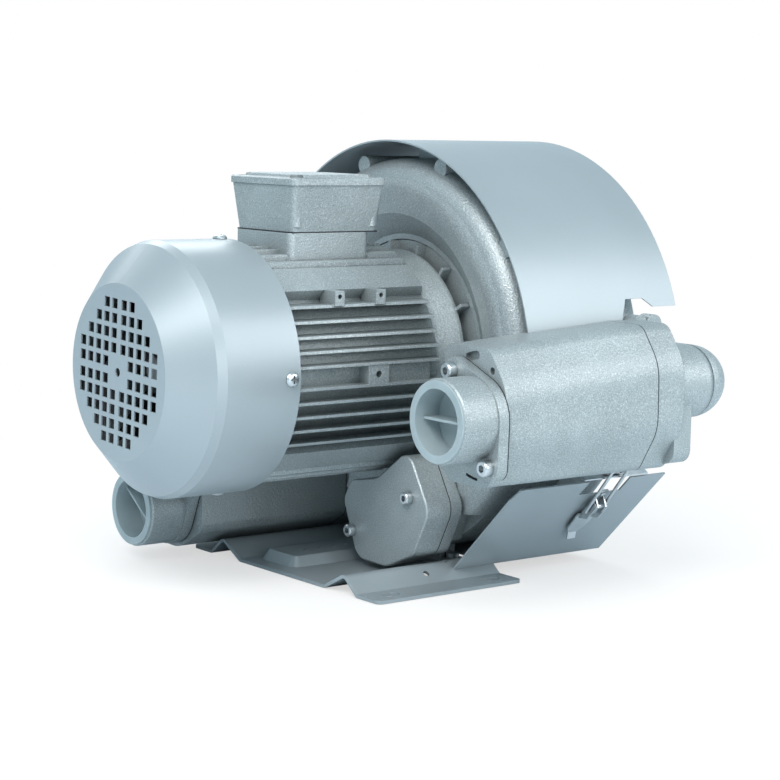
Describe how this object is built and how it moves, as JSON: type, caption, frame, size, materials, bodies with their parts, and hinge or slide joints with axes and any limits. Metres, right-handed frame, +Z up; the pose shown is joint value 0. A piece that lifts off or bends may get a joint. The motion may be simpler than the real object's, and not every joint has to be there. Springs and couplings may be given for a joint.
{
  "type": "side channel blower",
  "caption": "Two-stage side channel blower with a fan-cooled motor, cast silencers with hose ports, a sheet hood with toggle latches and a slotted base plate.",
  "frame": {"origin": "on the floor under the middle of the four foot slots", "axes": "+X along the motor shaft from the fan cowl to the blower, +Z up, the near silencer on the -Y side"},
  "size_m": [0.47, 0.479, 0.389],
  "materials": {
    "cast": "hammered silver-grey paint on sand-cast aluminium, satin",
    "sheet": "smooth silver-grey paint on steel sheet, satin",
    "zinc": "bright zinc-plated steel",
    "steel": "ground bare steel",
    "alu": "bare die-cast aluminium",
    "iron": "stacked electrical steel, dark",
    "copper": "varnished copper winding",
    "gasket": "black sheet gasket, matt",
    "plastic_black": "black moulded plastic",
    "plug": "translucent white moulded plastic, satin",
    "foam": "perforated silencer tube"
  },
  "bodies": {
    "root": {"base_plate": "sheet", "fan_cowl": "sheet", "cowl_screws": "zinc", "motor_frame": "cast", "end_shield": "cast", "end_bearing": "steel", "front_bearing": "steel", "rear_bearing": "steel", "stator_core": "iron", "end_windings": "copper", "bell_flange": "cast", "bell_screws": "zinc", "shaft_seal": "gasket", "terminal_box": "cast", "terminal_lid": "cast", "lid_screws": "zinc", "terminal_box_gasket": "gasket", "terminal_block": "plastic_black", "blanking_plugs": "plastic_black", "front_housing": "cast", "middle_housing": "cast", "rear_housing": "cast", "rear_bearing_cover": "cast", "housing_screws": "zinc", "foot_screws": "zinc", "hood": "sheet", "latch_keepers": "zinc", "hood_brackets": "sheet", "lower_shroud": "sheet", "silencer_near": "cast", "silencer_far": "cast", "port_flange_near": "cast", "port_flange_far": "cast", "port_gaskets": "gasket", "port_screws": "zinc", "silencer_liners": "foam", "silencer_gaskets": "gasket", "outlet_manifold": "cast", "crossover_cover": "cast", "crossover_gasket": "gasket", "crossover_screws": "zinc", "latch_base_near": "zinc", "latch_base_far": "zinc"},
    "rotor": {"motor_shaft": "steel", "impeller_keys": "steel", "rotor_core": "iron", "cooling_fan": "plastic_black", "impeller_stage_1": "alu", "impeller_stage_2": "alu", "impeller_spacer": "steel", "impeller_nut": "steel"},
    "latch_lever_near": {"latch_lever_near": "zinc"},
    "latch_bail_near": {"latch_bail_near": "zinc"},
    "latch_lever_far": {"latch_lever_far": "zinc"},
    "latch_bail_far": {"latch_bail_far": "zinc"},
    "port_plug_near": {"port_plug_near": "plug"},
    "port_plug_far": {"port_plug_far": "plug"}
  },
  "joints": [
    {"name": "rotor_spin", "type": "hinge", "parent": "root", "child": "rotor", "pos_m": [0, 0, 0.1925], "axis": [1, 0, 0], "continuous": true},
    {"name": "near_latch_lever", "type": "hinge", "parent": "root", "child": "latch_lever_near", "pos_m": [0.145, -0.17095, 0.06705], "axis": [-1, 0, 0], "range_deg": [0, 100]},
    {"name": "near_latch_bail", "type": "hinge", "parent": "latch_lever_near", "child": "latch_bail_near", "pos_m": [0.145, -0.16494, 0.06175], "axis": [-1, 0, 0], "range_deg": [-100, 0]},
    {"name": "far_latch_lever", "type": "hinge", "parent": "root", "child": "latch_lever_far", "pos_m": [0.145, 0.17095, 0.06705], "axis": [1, 0, 0], "range_deg": [0, 100]},
    {"name": "far_latch_bail", "type": "hinge", "parent": "latch_lever_far", "child": "latch_bail_far", "pos_m": [0.145, 0.16494, 0.06175], "axis": [1, 0, 0], "range_deg": [-100, 0]},
    {"name": "near_plug_pull", "type": "slide", "parent": "root", "child": "port_plug_near", "axis": [-1, 0, 0], "range_m": [0, 0.06]},
    {"name": "far_plug_pull", "type": "slide", "parent": "root", "child": "port_plug_far", "axis": [-1, 0, 0], "range_m": [0, 0.06]}
  ],
  "couplings": [
    {"joint": "near_latch_bail", "follows": "near_latch_lever", "ratio": -1},
    {"joint": "far_latch_bail", "follows": "far_latch_lever", "ratio": -1}
  ]
}
